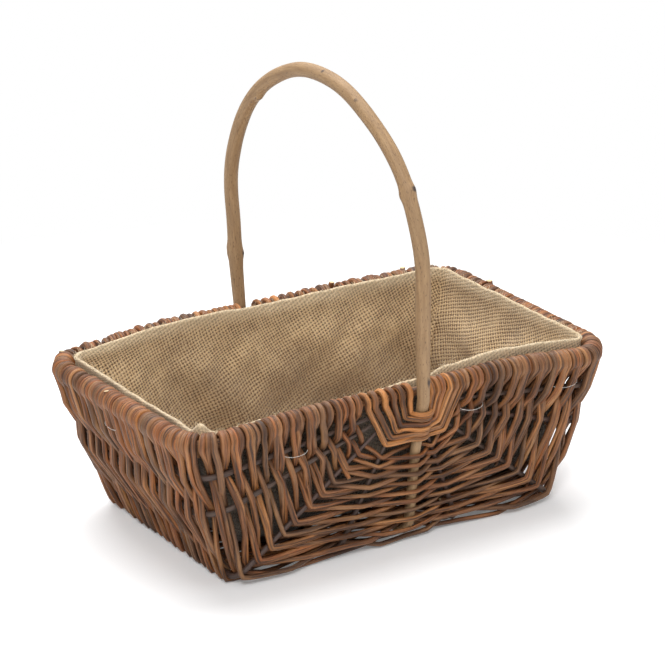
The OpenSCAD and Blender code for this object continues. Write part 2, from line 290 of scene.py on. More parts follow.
# The weave. Each rod runs from the left rim, over and under the sticks, to the right rim
weave = {
    "rods": 5 * groups,
    "touch": 0.0001,
    "rimRadius": 0.0029,
    "ribRadii": [0.0027, 0.0025, 0.0022, 0.0020],
    "hoopRadius": 0.0019,
    "edge": 0.268,  # the rod that runs along the bottom edge, as a share of them all
    "tail": 0.013,
    "bend": 0.11,  # length of a curve handle, as a share of a long run to the next knot
    "smooth": 0.33,  # the same for a stick whose knots lie close
    "arc": 0.34,  # the same for the short steps of a round bend
    "arcRun": 0.007,  # the longest of those steps
    "arcFade": 0.006,
    "shift": 0.0013,  # how far a rod strays along the stick that it crosses
    "stray": 0.0009,  # how crooked a rod is between two sticks
    "elbowRun": 0.015,  # the shortest run with an elbow
    "jitter": (0.0006, 0.0014),  # along the rim, near and far
    "slant": (0.0009, 0.0018),  # of the turn over the rim, near and far
    "swellTurn": 0.075,  # how far a run swells where it turns, as a share of its length
    "swellEdge": 0.075,  # the same for a run along the bottom edge
    "swellBelow": 0.6,  # share of the rim's height up to which it swells
    "stubs": 0.05,  # share of the rods that end in a short stub on the back rim
    "stubLength": (0.001, 0.003),
    "cutEdge": 0.0003,  # a cut end's rounded edge, and how far it crowns
    "cutCrown": 0.0002,
    "sides": 3,  # bevel resolution
    "steps": 5,
}
# Short rods that fill the wider courses beside the long ones
fillers = {
    "share": 0.88,  # of the places that have one
    "bare": 7,  # rods next to a lashing without one
    "beside": 0.45,  # of the room between two rods
    "girth": (0.70, 0.84),
    "lift": 0.0007,
    "tail": 0.007,  # the end behind the rib, and how far out it lies
    "tailOut": 0.0014,
}
# Places where a rod is pieced with a second one
splices = {"share": 0.03, "beside": 0.42, "radius": 0.0019, "end": (0.006, 0.014), "lean": 0.12}


# The ribs turn under the base at different shares of their lengths, the rods with them
def cornerShare(track, corner):
    nearest = min(range(len(track.points)), key=lambda j: (track.points[j] - corner).length)
    return track.runs[nearest] / track.length


def edgeShare(share, corner):
    turn = weave["edge"]
    if share < turn:
        return share / turn * corner
    if share > 1 - turn:
        return 1 - (1 - share) / turn * corner
    return mix(corner, 1 - corner, (share - turn) / (1 - 2 * turn))


ribCorners = [cornerShare(ribTracks[k], ribLine(k)[1]) for k in (2, 3)]
hoopCorner = cornerShare(hoopTrack, hoopPoint(-halfWidth(0), 0))


def ribShare(k, share):
    return share if k < 2 else edgeShare(share, ribCorners[k - 2])


# A knot of a rod is its middle, the direction out of the basket there, and its radius
def crossing(track, share, before, after, side, stickRadius, radius):
    p = track.at(share)
    along = track.at(share + 0.01) - track.at(share - 0.01)
    line = (before - p).normalized() - (after - p).normalized()
    normal = along.cross(line).normalized()
    if normal.dot(outward(p)) <= 0:
        normal = -normal
    q = p + normal * side * (stickRadius + weave["touch"] + radius)
    q.z = max(q.z, radius)
    return q, normal, radius


# Over the rim: up the outside, over the top, down the inside, and the cut tail. A stub
# ends above the rim instead
hookTurns = [(-25, -1), (20, -0.6), (70, 0), (125, 0.6), (170, 1)]  # degrees, share of the slant


def hook(p, radius, slant, along, stub=0, lift=0):
    out = outward(p)
    out = Vector((out.x, out.y, 0)).normalized()
    bend = rimThick / 2 + weave["touch"] + radius + lift
    knots = []
    for angle, share in hookTurns:
        a = math.radians(angle)
        normal = out * math.cos(a) + Vector((0, 0, math.sin(a)))
        knots.append((p + normal * bend + along * slant * share, normal, radius))
    if stub:
        end = p + (out * 0.5 + along * slant * 300 + Vector((0, 0, 1))) * (bend + stub)
        return knots[:2] + [(end, out, radius * 0.9)]
    end = p - out * bend * 0.9 + along * slant * 1.2 - Vector((0, 0, weave["tail"]))
    knots.append((end, -out, radius * 0.85))
    return knots


# Willow isn't straight: a run between two knots gets a slight elbow in its middle, and
# one that goes round an edge of the basket swells outwards
def swell(a, n, b, m):
    if not (n and m) or a.z > rimHeight * weave["swellBelow"]:
        return Vector()
    heading = (n + m).normalized()
    if heading.dot(outward(a.lerp(b, 0.5))) < 0:
        heading = -heading
    turn = (1 - abs(n.dot(m))) * weave["swellTurn"]
    edge = math.sqrt(abs(heading.z * heading.y) * 2) * weave["swellEdge"]
    return heading * (b - a).length * (turn + edge)


def crooked(knots, dice):
    path = [knots[0]]
    for (a, n, r), (b, m, q) in zip(knots, knots[1:]):
        if (b - a).length > weave["elbowRun"]:
            drift = Vector([dice.uniform(-1, 1) * weave["stray"] for axis in range(3)])
            middle = a.lerp(b, dice.uniform(0.4, 0.6)) + drift + swell(a, n, b, m)
            radius = mix(r, q, 0.5) * dice.uniform(0.92, 1.06)
            middle.z = max(middle.z, radius * 1.02)
            path.append((middle, None, radius))
        path.append((b, m, q))
    return path


# From where it crosses the rib that hangs lowest, up over the rim
def halfKnots(share, side, pattern, deep, girth, dice, lift=0):
    strays = [dice.uniform(-1, 1) * weave["shift"] for k in range(4)]
    shares = [ribShare(k, share) + strays[k] / ribTracks[k].length for k in range(4)]
    ragged = clamp((share - 0.5) / 0.15, 0, 1)  # the far rim is bound more roughly
    jitter = dice.uniform(-1, 1) * mix(*weave["jitter"], ragged) / rimTrack.length
    rimPoint = mirrored(sagged(mirrored(rimTrack.at(share + jitter), side)), side)
    line = [rimPoint] + [track.at(s) for track, s in zip(ribTracks, shares)]
    line.append(hoopTrack.at(edgeShare(share, hoopCorner)))
    knots = []
    for k in range(deep, -1, -1):
        over = -1 if (pattern + k) % 2 == 0 else 1
        radius = weave["ribRadii"][k] * girth * dice.uniform(0.94, 1.06)
        p, n, r = crossing(ribTracks[k], shares[k], line[k], line[k + 2], over,
                           ribRadius(share), radius)
        knots.append((p + n * max(over, 0) * lift, n, r))
    along = (rimTrack.at(share + 0.004) - rimTrack.at(share - 0.004)).normalized()
    slant = dice.uniform(-1, 1) * mix(*weave["slant"], ragged)
    stub = dice.uniform(*weave["stubLength"]) if ragged and dice.random() < weave["stubs"] else 0
    radius = weave["rimRadius"] * mix(1, girth, 0.6) * (1 + ragged * dice.uniform(-0.2, 0.12))
    return knots + hook(rimPoint, radius, slant, along, stub, lift)


def mirroredKnots(knots, side):
    return [(mirrored(p, side), n and mirrored(n, side), r) for p, n, r in knots]


def wovenKnots(i):
    dice = random.Random(100 + i)
    girth = dice.uniform(0.86, 1.08)
    share = (i + 0.5) / weave["rods"]
    left, right = [mirroredKnots(halfKnots(share, side, i, 3, girth, dice), side)
                   for side in (-1, 1)]
    rib = ribTracks[3].at(ribShare(3, share))
    place = edgeShare(share, hoopCorner)
    middle = crossing(hoopTrack, place, mirrored(rib, -1), rib, -1 if i % 2 == 0 else 1,
                      hoopRadius(hoopTrack.at(place).z), weave["hoopRadius"] * girth)
    return crooked(left[::-1] + [middle] + right, dice)


def courseShare(i, beside, dice):  # the place of a rod that lies to one side of rod i
    return (i + 0.5 + dice.choice((-beside, beside))) / weave["rods"]


# A short rod beside a long one, from behind a rib up over the rim
def fillerKnots(i, side, dice):
    share = courseShare(i, fillers["beside"], dice)
    deep = 2 if i % 2 == 0 else dice.choice((1, 3, 3))
    knots = halfKnots(share, side, i, deep, dice.uniform(*fillers["girth"]), dice, fillers["lift"])
    start, normal, radius = knots[0]
    tail = start - (knots[1][0] - start).normalized() * fillers["tail"]
    tail += normal * fillers["tailOut"]
    tail.z = max(tail.z, radius)
    return crooked(mirroredKnots([(tail, None, radius * 0.8)] + knots, side), dice)


# Where a rod is pieced, the new one lies beside it and its cut end sticks out below
def spliceKnots(i, side, dice):
    share = courseShare(i, splices["beside"], dice)
    line = [track.at(ribShare(k, share)) for k, track in enumerate(ribTracks)]
    radius = splices["radius"]
    knots = [crossing(ribTracks[k], ribShare(k, share), line[k - 1], line[k + 1],
                      1 if k == 2 else -1, ribRadius(share), radius) for k in (1, 2)]
    run = (knots[1][0] - knots[0][0]).normalized()
    end = knots[1][0] + (run + knots[1][1] * splices["lean"]) * dice.uniform(*splices["end"])
    end.z = max(end.z, radius)
    knots.append((end, None, radius * 0.95))
    return mirroredKnots(knots, side)


def lashKnots(i, side):
    dice = random.Random(500 + i * 2 + side)
    z = rimHeight - lashing["top"] - i * lashing["pitch"] + dice.uniform(-0.0005, 0.0005)
    q = hoopAtHeight(side, z)
    radius = lashing["radius"] * dice.uniform(0.92, 1.06)
    wrap = hoopRadius(z) + weave["touch"] + radius
    halves = []
    for end in (-1, 1):
        reach = (i + 0.5) / lashing["rods"]
        start = q.x + end * lashing["start"]
        stop = end * basket["lashReach"]
        x = mix(start, stop, reach)
        rimPoint = Vector((x, side * rimWidth / 2, rimHeight))
        ends = hook(rimPoint, radius * 1.15, dice.uniform(-0.001, 0.001), Vector((1, 0, 0)))
        elbowX = mix(start, stop, reach * lashing["elbow"])
        elbowY = side * (halfWidth(z) + lashing["proud"])
        elbow = Vector((elbowX, elbowY, z + dice.uniform(0, 0.002)))
        halves.append([(elbow, Vector((0, side, 0)), radius)] + ends)
    over = []
    for turn in (-1, 0, 1):
        a = math.radians(turn * lashing["wrap"] + dice.uniform(-3, 3))
        normal = Vector((math.sin(a), side * math.cos(a), 0))
        over.append((q + normal * wrap, normal, radius))
    return crooked(halves[0][::-1] + over + halves[1], dice)


def newCurve(name, depth, sides):
    curve = bpy.data.curves.new(name, "CURVE")
    curve.dimensions = "3D"
    curve.bevel_depth = depth
    curve.bevel_resolution = sides
    return curve


def placed(name, data):
    thing = bpy.data.objects.new(name, data)
    bpy.context.scene.collection.objects.link(thing)
    return thing


def drawn(curve):  # the curve as a mesh; the curve itself goes
    holder = placed(curve.name, curve)
    shown = holder.evaluated_get(bpy.context.evaluated_depsgraph_get())
    mesh = bpy.data.meshes.new_from_object(shown)
    bpy.data.objects.remove(holder)
    bpy.data.curves.remove(curve)
    return mesh


# A round stick through its knots, as a mesh whose bark runs along it
def stickMesh(name, knots, closed=False, sides=None, steps=None, seed=0, bend=None):
    sides = sides or weave["sides"]
    bend = bend or weave["bend"]
    curve = newCurve(name, 1, sides)
    curve.resolution_u = steps or weave["steps"]
    spline = curve.splines.new("BEZIER")
    spline.bezier_points.add(len(knots) - 1)
    spline.use_cyclic_u = closed
    count = len(knots)

    def reach(run):  # a short step is drawn as an arc, a long one nearly straight
        longer = clamp((run - weave["arcRun"]) / weave["arcFade"], 0, 1)
        return run * mix(weave["arc"], bend, longer)

    for j, (p, normal, radius) in enumerate(knots):
        before = knots[(j - 1) % count][0] if j or closed else p
        after = knots[(j + 1) % count][0] if j < count - 1 or closed else p
        along = after - before
        if normal:
            along -= normal * along.dot(normal)
        along.normalize()
        point = spline.bezier_points[j]
        point.handle_left_type = point.handle_right_type = "FREE"
        point.co = p
        low = p - along * reach((p - before).length)
        high = p + along * reach((after - p).length)
        low.z, high.z = max(low.z, radius), max(high.z, radius)
        point.handle_left, point.handle_right = low, high
        point.radius = radius
    return markBark(drawn(curve), 4 + 2 * sides, closed, seed)


def written(form, mesh):
    form.to_mesh(mesh)
    form.free()
    return mesh


# Writes where each point lies on its own stick, round it and along it, and the stick's own
# tone, then closes the cut ends
def markBark(mesh, sides, closed, seed):
    rings = len(mesh.vertices) // sides
    places = [v.co.copy() for v in mesh.vertices]
    bark = mesh.attributes.new("bark", "FLOAT_VECTOR", "POINT")
    tone = mesh.attributes.new("tone", "FLOAT_VECTOR", "POINT")
    dice = random.Random(seed * 31 + 7)
    tones = [dice.random() for axis in range(3)]
    offset = Vector([dice.uniform(-1, 1) for axis in range(3)])
    run = 0
    last = None
    for r in range(rings):
        ring = places[r * sides:(r + 1) * sides]
        middle = sum(ring, Vector()) / sides
        run += (middle - last).length if last else 0
        last = middle
        radius = (ring[0] - middle).length
        for s in range(sides):
            angle = 2 * math.pi * s / sides
            spot = Vector((math.cos(angle) * radius, math.sin(angle) * radius, run))
            bark.data[r * sides + s].vector = spot + offset
            tone.data[r * sides + s].vector = tones
    if closed:
        return mesh
    form = bmesh.new()
    form.from_mesh(mesh)
    form.verts.ensure_lookup_table()
    for ring in (form.verts[:sides], form.verts[-sides:]):
        edges = [e for v in ring for e in v.link_edges if e.is_boundary]
        cap = bmesh.ops.edgeloop_fill(form, edges=list(set(edges)), mat_nr=1)["faces"]
        bmesh.ops.inset_individual(form, faces=cap, thickness=weave["cutEdge"],
                                   depth=weave["cutCrown"])
    bmesh.ops.recalc_face_normals(form, faces=form.faces)
    return written(form, mesh)


# Joins meshes to one piece, rides it on the basket and lets it stand for its CAD nodes
def makePiece(name, meshes, materials, nodes=()):
    form = bmesh.new()
    for mesh in meshes:
        form.from_mesh(mesh)
    joined = written(form, bpy.data.meshes.new(name))
    for mesh in meshes:
        bpy.data.meshes.remove(mesh)
    for material in materials:
        joined.materials.append(material)
    joined.polygons.foreach_set("use_smooth", [True] * len(joined.polygons))
    piece = placed(name, joined)
    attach(piece, "root")
    if nodes:
        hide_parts(*nodes)
    return piece


# Shader maths: a wire is a node's output that can be used in sums
class Wire:
    def __init__(self, finish, socket):
        self.finish = finish
        self.socket = socket

    def maths(self, operation, first, second=0.0):
        return self.finish.node("Math", {"operation": operation}, {0: first, 1: second})

    def __add__(self, other):
        return self.maths("ADD", self, other)

    def __radd__(self, other):
        return self.maths("ADD", other, self)

    def __sub__(self, other):
        return self.maths("SUBTRACT", self, other)

    def __rsub__(self, other):
        return self.maths("SUBTRACT", other, self)

    def __mul__(self, other):
        return self.maths("MULTIPLY", self, other)

    def __rmul__(self, other):
        return self.maths("MULTIPLY", other, self)


# A finish is built in the nodes of its own material, or of the world
class Finish:
    def __init__(self, name, owner=None):
        self.owner = owner or bpy.data.materials.new(name)
        self.owner.use_nodes = True
        self.tree = self.owner.node_tree
        self.tree.nodes.clear()

    def node(self, kind, settings=None, inputs=None, output=0):
        made = self.tree.nodes.new("ShaderNode" + kind)
        for key, value in (settings or {}).items():
            setattr(made, key, value)
        for key, value in (inputs or {}).items():
            if isinstance(value, Wire):
                self.tree.links.new(value.socket, made.inputs[key])
            else:
                made.inputs[key].default_value = value
        return Wire(self, made.outputs[output]) if made.outputs else None

    def noise(self, place, scale, detail=3.0, roughness=0.55):
        return self.node("TexNoise", None, {
            "Vector": place, "Scale": scale, "Detail": detail, "Roughness": roughness})

    def grain(self, place, stretch, detail=3.0, roughness=0.55):  # noise drawn out along a stick
        return self.noise(self.scaled(place, stretch), 1.0, detail, roughness)

    def spread(self, value, low, high, start=0.0, end=1.0):  # value from low..high to start..end
        return self.node("MapRange", {"clamp": True}, {
            "Value": value, "From Min": low, "From Max": high, "To Min": start, "To Max": end})

    def blend(self, factor, a, b):  # sockets 6, 7 and 2 are the colours of a Mix node
        return self.node("Mix", {"data_type": "RGBA"}, {0: factor, 6: a, 7: b}, 2)

    def layered(self, colour, layers):  # each: a value and how it spreads, and the tint it brings
        for *spread, tint in layers:
            colour = self.blend(self.spread(*spread), colour, tint)
        return colour

    def scaled(self, vector, scale):
        return self.node("VectorMath", {"operation": "MULTIPLY"}, {0: vector, 1: scale})

    def sine(self, angle):
        return self.node("Math", {"operation": "SINE"}, {0: angle})

    def attribute(self, name, output="Vector"):
        return self.node("Attribute", {"attribute_name": name}, None, output)

    def place(self):
        return self.node("TexCoord", None, None, "Object")

    def parts(self, vector):
        first = self.node("SeparateXYZ", None, {0: vector})
        return [Wire(self, output) for output in first.socket.node.outputs]

    def bump(self, height, strength, distance):
        return self.node("Bump", None, {
            "Height": height, "Strength": strength, "Distance": distance})

    def surface(self, colour, roughness, normal=None, **fixed):
        values = {"Base Color": colour, "Roughness": roughness}
        if normal:
            values["Normal"] = normal
        for key, value in fixed.items():
            values[key.replace("_", " ")] = value
        return self.finished(self.node("BsdfPrincipled", None, values))

    def finished(self, shader, kind="Material"):
        self.node("Output" + kind, None, {0: shader})
        return self.owner


def rgb(red, green, blue):
    return (red, green, blue, 1)


# Brown willow bark: each rod has its own tone, with long streaks, flecks and worn ridges
willow = {
    "dark": rgb(0.04, 0.017, 0.009),
    "brown": rgb(0.235, 0.096, 0.033),
    "red": rgb(0.345, 0.115, 0.034),
    "orange": rgb(0.56, 0.225, 0.062),
    "grey": rgb(0.165, 0.094, 0.05),
    "worn": rgb(0.43, 0.218, 0.09),
    "cutDark": rgb(0.62, 0.44, 0.24),
    "cutPale": rgb(0.8, 0.66, 0.42),
}


def barkFinish(name, warm):
    finish = Finish(name)
    place = finish.attribute("bark")
    first, second, third = finish.parts(finish.attribute("tone"))
    streaks = finish.grain(place, (520, 520, 20), 5.0, 0.65)
    patches = finish.grain(place, (160, 160, 22))
    flecks = finish.grain(place, (1500, 1500, 420), 2.0, 0.5)
    colour = finish.layered(finish.blend(first, willow["brown"], willow["red"]), [
        (second, 0.55, 1.0, 0.0, 0.75, willow["grey"]),
        (third, 0.9 - warm, 1.3 - warm, 0.0, 0.9, willow["orange"]),
        (patches, 0.25, 0.48, 0.7, 0.0, willow["dark"]),
        (streaks, 0.40, 0.58, 0.95, 0.0, willow["dark"]),
        (streaks, 0.60, 0.70, 0.0, 0.55, willow["worn"]),
        (patches, 0.52, 0.72, 0.0, 0.6, willow["worn"]),
        (flecks, 0.64, 0.72, 0.0, 0.6, willow["dark"]),
    ])
    normal = finish.bump(streaks * 0.8 + flecks * 0.3 + patches * 0.5, 0.85, 0.0012)
    roughness = finish.spread(patches, 0.3, 0.7, 0.6, 0.42)
    return finish.surface(colour, roughness, normal, Specular_IOR_Level=0.35)


def pithFinish():
    finish = Finish("cut_end")
    grain = finish.grain(finish.attribute("bark"), (1500, 1500, 1500))
    colour = finish.blend(grain, willow["cutDark"], willow["cutPale"])
    return finish.surface(colour, 0.8, finish.bump(grain, 0.4, 0.0004))


# Peeled handle stick: pale tan wood with a fine grain, grey weathering and dark knots
peeled = {
    "tan": rgb(0.235, 0.134, 0.06),
    "pale": rgb(0.4, 0.252, 0.126),
    "grey": rgb(0.3, 0.194, 0.106),
    "fleck": rgb(0.11, 0.062, 0.034),
    "knot": rgb(0.05, 0.032, 0.025),
}


def handleFinish():
    finish = Finish("handle_wood")
    place = finish.attribute("bark")
    knots = finish.parts(finish.attribute("knot"))[0]
    grain = finish.grain(place, (420, 420, 40), 4.0, 0.6)
    patches = finish.grain(place, (90, 90, 26), 3.0, 0.6)
    flecks = finish.grain(place, (1400, 1400, 300), 2.0, 0.5)
    colour = finish.blend(finish.spread(grain, 0.28, 0.72), peeled["tan"], peeled["pale"])
    colour = finish.layered(colour, [
        (patches, 0.42, 0.75, 0.0, 0.7, peeled["grey"]),
        (flecks, 0.60, 0.70, 0.0, 0.75, peeled["fleck"]),
        (knots + grain * 0.5, 0.55, 0.95, peeled["knot"]),
    ])
    normal = finish.bump(grain * 0.5 + flecks * 0.4 + patches * 0.3, 0.45, 0.0006)
    return finish.surface(colour, finish.spread(patches, 0.3, 0.7, 0.55, 0.72), normal)


ribTones = {
    "purple": rgb(0.08, 0.038, 0.026),
    "grey": rgb(0.088, 0.054, 0.036),
    "dark": rgb(0.035, 0.022, 0.018),
}


def ribFinish():
    finish = Finish("rib_bark")
    tone = finish.parts(finish.attribute("tone"))[0]
    streaks = finish.grain(finish.attribute("bark"), (700, 700, 30), 4.0, 0.6)
    colour = finish.layered(finish.blend(tone, ribTones["purple"], ribTones["grey"]), [
        (streaks, 0.35, 0.65, 0.8, 0.0, ribTones["dark"])])
    return finish.surface(colour, 0.6, finish.bump(streaks, 0.5, 0.0005))


# Hessian: a plain weave of coarse threads in the cloth's own coordinates, in metres
hessian = {
    "pitch": 0.0029,
    "slant": -22,  # degrees by which the threads run off the basket's length
    "drift": 0.020,  # how far the threads wander from straight
    "thread": rgb(0.645, 0.44, 0.225),
    "shade": rgb(0.375, 0.23, 0.106),
    "bright": rgb(0.82, 0.61, 0.36),
    "gap": rgb(0.12, 0.07, 0.034),
    # painted shade: darkens the cloth towards the floor and in broad blotches
    "paintedShade": rgb(0.15, 0.085, 0.04),
    "hem": rgb(0.7, 0.56, 0.37),
    # painted shade for the outer side, which lies in shadow behind the weave; much less of it on
    # the hem
    "paintedWeaveShade": rgb(0.034, 0.021, 0.011),
    "outsidePaintedShade": 0.88,  # share of that painted shade on the outer side, which is seen through the weave and lies in its shadow
}


# The outer side is the same cloth, darkened by the given share of painted shade
def hessianFinish(name, paintedWeaveShade=0.0):
    finish = Finish(name)
    flat = finish.node("UVMap", {"uv_map": "cloth"})
    wander = finish.node("TexNoise", None, {"Vector": flat, "Scale": 7.0, "Detail": 1.0}, "Color")
    amount = (hessian["drift"], hessian["drift"], 0)
    cloth = finish.node("VectorMath", {"operation": "MULTIPLY_ADD"},
                        {0: wander, 1: amount, 2: flat})
    cloth = finish.node("VectorRotate", {"rotation_type": "Z_AXIS"},
                        {"Vector": cloth, "Angle": math.radians(hessian["slant"])})
    slubs = finish.grain(cloth, (600, 50, 1), 2.0)
    slubsAcross = finish.grain(cloth, (50, 600, 1), 2.0)
    u, v = finish.parts(cloth)[:2]
    jitter = finish.noise(cloth, 210.0, 2.0) - 0.5
    turns = 2 * math.pi / hessian["pitch"]
    across = u * turns + jitter * 2.6
    down = v * turns - jitter * 2.2
    eighth = math.pi / 4
    lift = finish.sine(across * 0.5 + eighth) * finish.sine(down * 0.5 + eighth)

    def threads(angle, slub, over):
        wave = finish.sine(angle) * 0.5 + 0.5 + (slub - 0.5) * 0.9
        return finish.spread(wave, 0.20, 0.70) * (lift * over + 0.75)

    top = finish.node("Math", {"operation": "MAXIMUM"},
                      {0: threads(across, slubs, 0.5), 1: threads(down, slubsAcross, -0.5)})
    closed = finish.noise(cloth, 60.0)
    gap = finish.spread(top + (closed - 0.5) * 0.9, 0.05, 0.62)
    tint = finish.noise(cloth, 26.0, 4.0, 0.6)
    hairs = finish.noise(cloth, 1500.0, 3.0, 0.7)
    thread = finish.blend(finish.spread(tint, 0.3, 0.7), hessian["shade"], hessian["thread"])
    thread = finish.layered(thread, [
        (slubs + slubsAcross, 0.85, 1.25, 0.0, 0.7, hessian["bright"]),
        (top, 0.75, 1.15, 0.0, 0.85, hessian["bright"]),
        (hairs, 0.3, 0.55, 0.6, 0.0, hessian["shade"]),
    ])
    # height, ragged and patches steer painted shade: darker towards the floor, and in broad
    # blotches
    height = finish.parts(finish.place())[2]
    ragged = finish.noise(cloth, 12.0) - 0.5
    patches = finish.noise(cloth, 9.0, 3.0, 0.6)
    hem = finish.attribute("hem", "Fac")
    colour = finish.layered(finish.blend(gap, hessian["gap"], thread), [
        # painted shade, darker towards the floor where the walls shade the cloth
        (height + ragged * 0.09, 0.010, 0.110, 0.80, 0.0, hessian["paintedShade"]),
        # painted shade in broad blotches, standing in for the shade of folds
        (patches, 0.50, 0.72, 0.0, 0.5, hessian["paintedShade"]),
        (hem, 0.4, 1.0, 0.0, 0.75, hessian["hem"]),
        # painted shade on the outer side, fading out on the hem
        (hem, 0.05, 0.55, paintedWeaveShade, paintedWeaveShade * 0.1, hessian["paintedWeaveShade"]),
    ])
    normal = finish.bump(top + hairs * 0.5, 0.75, 0.0009)
    return finish.surface(colour, 0.92, normal, Sheen_Weight=0.2, Sheen_Roughness=0.6)


print("materials")
barkWarm = barkFinish("willow_warm", 0.75)
barkPlain = barkFinish("willow_plain", 0.12)
pith = pithFinish()

# Woven rods, five to a piece as in the CAD groups
pieced = random.Random(77)
for g in range(groups):
    members = range(g * 5, g * 5 + 5)
    rods = [stickMesh(f"rod_{i}", wovenKnots(i), seed=i) for i in members]
    for i in members:
        for side in (-1, 1):
            if pieced.random() < splices["share"]:
                knots = spliceKnots(i, side, pieced)
                rods.append(stickMesh("splice", knots, seed=400 + i * 2 + side))
            filled = pieced.random() < fillers["share"]
            if filled and fillers["bare"] <= i < weave["rods"] - fillers["bare"]:
                knots = fillerKnots(i, side, pieced)
                rods.append(stickMesh("filler", knots, seed=700 + i * 2 + side))
    makePiece(f"woven_rods_{g + 1}", rods, [barkPlain, pith], [f"weavers_{g + 1}"])
print("woven rods")

for name, side in (("front", -1), ("back", 1)):
    rods = [stickMesh(f"lash_{i}", lashKnots(i, side), seed=200 + i * 2 + side)
            for i in range(lashing["rods"])]
    makePiece(f"lashing_rods_{name}", rods, [barkWarm, pith], [f"lashing_{name}"])
print("lashings")

# Ribs
ribBark = ribFinish()
for name, side in (("left", -1), ("right", 1)):
    for k, track in enumerate(ribTracks):
        path = track.points
        first = path[0] + (path[0] - path[1]).normalized() * ribs["tuck"]
        last = path[-1] + (path[-1] - path[-2]).normalized() * ribs["tuck"]
        knots = [(mirrored(p, side), None, ribRadius(run / track.length))
                 for p, run in zip([first, *path, last], [0, *track.runs, track.length])]
        stick = stickMesh("rib", knots, steps=3, seed=300 + k * 2 + side, bend=weave["smooth"])
        makePiece(f"rib_stick_{name}_{k + 1}", [stick], [ribBark, pith],
                  [f"rib_{name}_{k + 1}"])
print("ribs")


# Knots of the handle's wood: height, front or back leg, direction, size, rise, darkness
handleKnots = [
    (0.3500, 1, (-0.2, -0.6, -0.8), 1.0, 2.6, 0.6),
    (0.3838, -1, (-0.5, -0.2, 0.8), 0.9, 0.5, 1.0),
    (0.3708, -1, (-0.6, -0.6, 0.5), 0.8, 0.4, 0.9),
    (0.3124, -1, (0.3, -0.9, 0.3), 1.2, 2.3, 1.0),
    (0.3100, -1, (-0.8, 0.3, 0.1), 1.2, 1.5, 0.3),
    (0.1950, 1, (-0.84, 0.5, 0.0), 1.5, 1.6, 0.3),
    (0.1920, 1, (0.7, -0.7, 0.0), 1.3, 1.7, 0.9),
    (0.2130, 1, (-0.5, -0.8, 0.2), 0.7, 0.2, 0.9),
    (0.1830, -1, (-0.7, -0.7, 0.1), 1.0, 0.5, 1.0),
    (0.1530, -1, (0.3, -0.9, 0.1), 1.0, 0.5, 1.0),
    (0.2500, 1, (0.6, 0.8, 0.0), 1.1, 1.2, 0.9),
    (0.3300, 1, (0.2, 0.9, 0.4), 0.9, 0.9, 0.9),
]


def handlePath():
    path = frontHalf[::-1] + hoopArch() + backHalf[:-1]
    count = len(path)
    for turn in range(4):  # evens out the bend where the arch meets the legs
        path = [path[j] if path[j].z < rimHeight + 0.02
                else (path[j - 1] + path[j] * 2 + path[(j + 1) % count]) / 4 for j in range(count)]
    knots = []
    for p in path:
        stray = clamp((p.z - rimHeight) / 0.06, 0, 1) * handle["stray"]  # none at the rim
        shift = Vector([wobble(p, seed, 0.07) for seed in (3, 8, 12)]) * stray
        girth = 1 + handle["swell"] * wobble(p, 5, 0.03)
        knots.append((p + shift, None, hoopRadius(p.z) * girth))
    return knots


def addKnots(mesh, path):
    dark = mesh.attributes.new("knot", "FLOAT_VECTOR", "POINT")
    spots = []
    for height, leg, heading, size, bump, ink in handleKnots:
        near = [j for j, k in enumerate(path) if k[0].y * leg > 0 and k[0].z > rimHeight * 0.9]
        j = min(near, key=lambda j: abs(path[j][0].z - height))
        grow = (path[j + 1][0] - path[j - 1][0]).normalized()
        p = path[j][0]
        if abs(grow.z) > 0.3:
            p = p + grow * (height - p.z) / grow.z
        side = Vector(heading)
        side = (side - grow * side.dot(grow)).normalized()
        spots.append((p + side * path[j][2], side, size, bump, ink))
    for v in mesh.vertices:
        amount = 0
        push = Vector()
        for spot, side, size, bump, ink in spots:
            gap = (v.co - spot).length * 1000 / size
            amount = max(amount, ink * math.exp(-(gap / handle["stain"]) ** 2))
            push += side * 0.001 * bump * math.exp(-(gap / handle["bump"]) ** 2)
        dark.data[v.index].vector = (amount, 0, 0)
        v.co += push


handleLine = handlePath()
handleMesh = stickMesh("handle", handleLine, closed=True, sides=7, steps=6, seed=900,
                       bend=weave["smooth"])
addKnots(handleMesh, handleLine)
makePiece("handle_stick", [handleMesh], [handleFinish()], ["handle_hoop"])
print("handle")

# Rim: one stick all round, which the rods bend over
rim = {"knots": 48, "swell": 0.04}


def rimKnot(p):
    return sagged(p), None, rimThick / 2 * (1 + rim["swell"] * wobble(p, 6, 0.04))


rimHalf = [rimTrack.at(j / rim["knots"]) for j in range(rim["knots"] + 1)]
rimLine = rimHalf + [mirrored(p, -1) for p in rimHalf[::-1]]
rimMesh = stickMesh("rim", [rimKnot(p) for p in rimLine], closed=True, sides=5, steps=2,
                    seed=950, bend=weave["smooth"])
makePiece("rim_stick", [rimMesh], [barkPlain], ["rim_hoop"])
print("rim")

# Liner: a floor, walls that stand against the weave, and a hem folded over to the outside
liner = {
    "inset": 0.0090,  # from the wall that the ribs lie on
    "hemInset": 0.0120,  # from the rim's centre
    "floor": 0.0190,
    "edge": 0.034,  # radius of the soft bend from floor to wall
    "corner": 0.013,
    "thick": 0.0011,
    "fold": 0.0020,  # from the wall out to the folded layer
    "hemDepth": 0.012,  # below the rim's centre
    "hemHeight": 0.019,  # on average, for the length of the cloth
    "wave": 0.0095,  # depth of the folds, on the walls and on the floor
    "floorWave": 0.0060,
    "broadFold": 0.050,  # length of the broad folds and of the fine ones
    "fineFold": 0.024,
    "cells": (84, 52),
    "bendSteps": 7,
    "wallSteps": 14,
}
